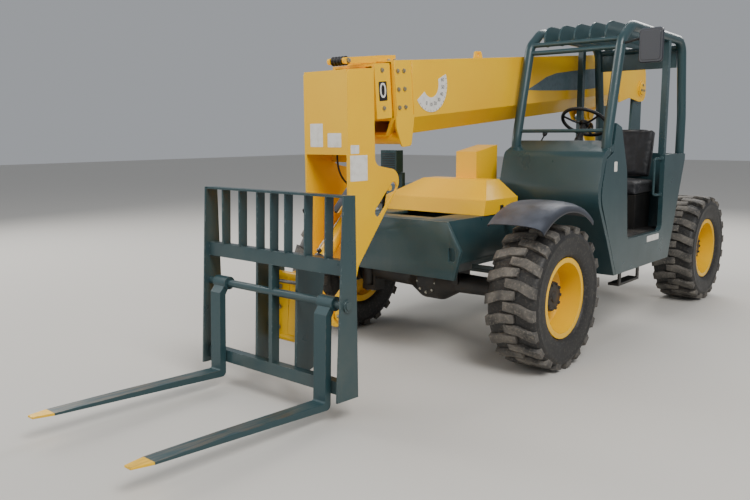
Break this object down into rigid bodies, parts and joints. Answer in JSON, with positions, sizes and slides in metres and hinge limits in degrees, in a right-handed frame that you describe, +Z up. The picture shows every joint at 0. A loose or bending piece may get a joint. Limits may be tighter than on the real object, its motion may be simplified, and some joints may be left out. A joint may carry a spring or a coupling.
{
  "type": "telehandler",
  "caption": "Telescopic handler with a long side-mounted boom, open cab with roof bars, engine side pod, steered wheels with bar-lug tyres and a pallet fork carriage on a gooseneck nose.",
  "frame": {"origin": "on the ground, in the middle of the bounding box", "axes": "+X forward towards the fork tips, +Y to the machine's left, +Z up"},
  "size_m": [6.6217, 2.5, 2.4885],
  "materials": {
    "black_steel": "satin black chassis paint",
    "chrome_rod": "hard chrome plated rod",
    "engine_metal": "oily grey cast iron",
    "fender_plastic": "textured black moulded plastic",
    "green_paint": "satin dark grey-green enamel",
    "grip_plastic": "black moulded grip",
    "tyre_rubber": "dusty grey-black rubber",
    "vinyl": "black vinyl upholstery",
    "yellow_paint": "semi-gloss safety yellow enamel"
  },
  "bodies": {
    "chassis": {"frame_rails": "green_paint", "frame_crossmembers": "green_paint", "boom_tower": "green_paint", "tower_crossmembers": "green_paint", "tower_pins": "green_paint", "counterweight": "green_paint", "front_box": "green_paint", "front_hood": "yellow_paint", "engine_pod": "green_paint", "engine_block": "engine_metal", "hydraulic_tank": "black_steel", "cab_front_panel": "green_paint", "cab_left_side": "green_paint", "cab_right_side": "green_paint", "cab_rear_panel": "green_paint", "cab_floor": "black_steel", "cab_console": "black_steel", "steering_wheel": "grip_plastic", "seat_cushion": "vinyl", "seat_back": "vinyl", "protection_frame": "green_paint", "rear_header": "green_paint", "front_fenders": "fender_plastic", "mirror": "fender_plastic", "cab_step": "black_steel", "front_axle": "black_steel", "rear_axle": "black_steel"},
    "engine_hood": {"engine_hood": "green_paint"},
    "boom": {"boom_outer": "yellow_paint", "hose_bracket": "yellow_paint"},
    "boom_middle": {"boom_middle": "yellow_paint"},
    "boom_fly": {"boom_fly": "yellow_paint", "boom_nose": "yellow_paint"},
    "lift_barrel": {"lift_cylinder_barrel": "yellow_paint"},
    "lift_rod": {"lift_cylinder_rod": "chrome_rod"},
    "tilt_barrel": {"tilt_cylinder_barrel": "yellow_paint"},
    "tilt_rod": {"tilt_cylinder_rod": "chrome_rod"},
    "carriage": {"quick_coupler": "yellow_paint", "carriage_frame": "green_paint", "left_fork": "green_paint", "right_fork": "green_paint"},
    "front_left_knuckle": {"front_left_knuckle": "black_steel"},
    "front_left_wheel": {"front_left_rim": "yellow_paint", "front_left_tyre": "tyre_rubber"},
    "front_right_knuckle": {"front_right_knuckle": "black_steel"},
    "front_right_wheel": {"front_right_rim": "yellow_paint", "front_right_tyre": "tyre_rubber"},
    "rear_left_knuckle": {"rear_left_knuckle": "black_steel"},
    "rear_left_wheel": {"rear_left_rim": "yellow_paint", "rear_left_tyre": "tyre_rubber"},
    "rear_right_knuckle": {"rear_right_knuckle": "black_steel"},
    "rear_right_wheel": {"rear_right_rim": "yellow_paint", "rear_right_tyre": "tyre_rubber"}
  },
  "joints": [
    {"name": "boom_lift", "type": "hinge", "parent": "chassis", "child": "boom", "pos_m": [-3.13139, -0.12, 2.1], "axis": [0, -1, 0], "range_deg": [0, 70]},
    {"name": "boom_extend", "type": "slide", "parent": "boom", "child": "boom_middle", "axis": [0.9966, 0, -0.0819], "range_m": [0, 2.3]},
    {"name": "fly_extend", "type": "slide", "parent": "boom_middle", "child": "boom_fly", "axis": [0.9966, 0, -0.0819], "range_m": [0, 2.3]},
    {"name": "carriage_tilt", "type": "hinge", "parent": "boom_fly", "child": "carriage", "pos_m": [1.61721, -0.12, 0.51036], "axis": [0, -1, 0], "range_deg": [-80, 15]},
    {"name": "lift_barrel_swing", "type": "hinge", "parent": "chassis", "child": "lift_barrel", "pos_m": [-2.96139, -0.12, 0.9], "axis": [0, -1, 0], "range_deg": [-1, 30]},
    {"name": "lift_rod_slide", "type": "slide", "parent": "lift_barrel", "child": "lift_rod", "axis": [0.6633, 0, 0.7484], "range_m": [-0.002, 0.9]},
    {"name": "tilt_barrel_swing", "type": "hinge", "parent": "boom_fly", "child": "tilt_barrel", "pos_m": [1.08721, -0.12, 1.28036], "axis": [0, -1, 0], "range_deg": [-2, 1]},
    {"name": "tilt_rod_slide", "type": "slide", "parent": "tilt_barrel", "child": "tilt_rod", "axis": [0.7315, 0, -0.6819], "range_m": [-0.055, 0.285]},
    {"name": "front_left_steer", "type": "hinge", "parent": "chassis", "child": "front_left_knuckle", "pos_m": [0.28861, 0.58, 0.508], "axis": [0, 0, 1], "range_deg": [-28, 28]},
    {"name": "front_left_spin", "type": "hinge", "parent": "front_left_knuckle", "child": "front_left_wheel", "pos_m": [0.28861, 0.82, 0.508], "axis": [0, 1, 0], "continuous": true},
    {"name": "front_right_steer", "type": "hinge", "parent": "chassis", "child": "front_right_knuckle", "pos_m": [0.28861, -0.82, 0.508], "axis": [0, 0, 1], "range_deg": [-28, 28]},
    {"name": "front_right_spin", "type": "hinge", "parent": "front_right_knuckle", "child": "front_right_wheel", "pos_m": [0.28861, -1.06, 0.508], "axis": [0, 1, 0], "continuous": true},
    {"name": "rear_left_steer", "type": "hinge", "parent": "chassis", "child": "rear_left_knuckle", "pos_m": [-2.67139, 0.58, 0.508], "axis": [0, 0, 1], "range_deg": [-28, 28]},
    {"name": "rear_left_spin", "type": "hinge", "parent": "rear_left_knuckle", "child": "rear_left_wheel", "pos_m": [-2.67139, 0.82, 0.508], "axis": [0, 1, 0], "continuous": true},
    {"name": "rear_right_steer", "type": "hinge", "parent": "chassis", "child": "rear_right_knuckle", "pos_m": [-2.67139, -0.82, 0.508], "axis": [0, 0, 1], "range_deg": [-28, 28]},
    {"name": "rear_right_spin", "type": "hinge", "parent": "rear_right_knuckle", "child": "rear_right_wheel", "pos_m": [-2.67139, -1.06, 0.508], "axis": [0, 1, 0], "continuous": true},
    {"name": "engine_hood_open", "type": "hinge", "parent": "chassis", "child": "engine_hood", "pos_m": [-1.96439, -0.7575, 1.104], "axis": [0, -1, 0], "range_deg": [0, 55]}
  ],
  "couplings": [
    {"joint": "fly_extend", "follows": "boom_extend", "ratio": 1},
    {"joint": "lift_barrel_swing", "follows": "boom_lift", "ratio": 0.41},
    {"joint": "lift_rod_slide", "follows": "boom_lift", "m_per_rad": 0.735},
    {"joint": "tilt_barrel_swing", "follows": "carriage_tilt", "ratio": 0.021},
    {"joint": "tilt_rod_slide", "follows": "carriage_tilt", "m_per_rad": -0.2},
    {"joint": "front_right_steer", "follows": "front_left_steer", "ratio": 1},
    {"joint": "rear_right_steer", "follows": "rear_left_steer", "ratio": 1}
  ]
}
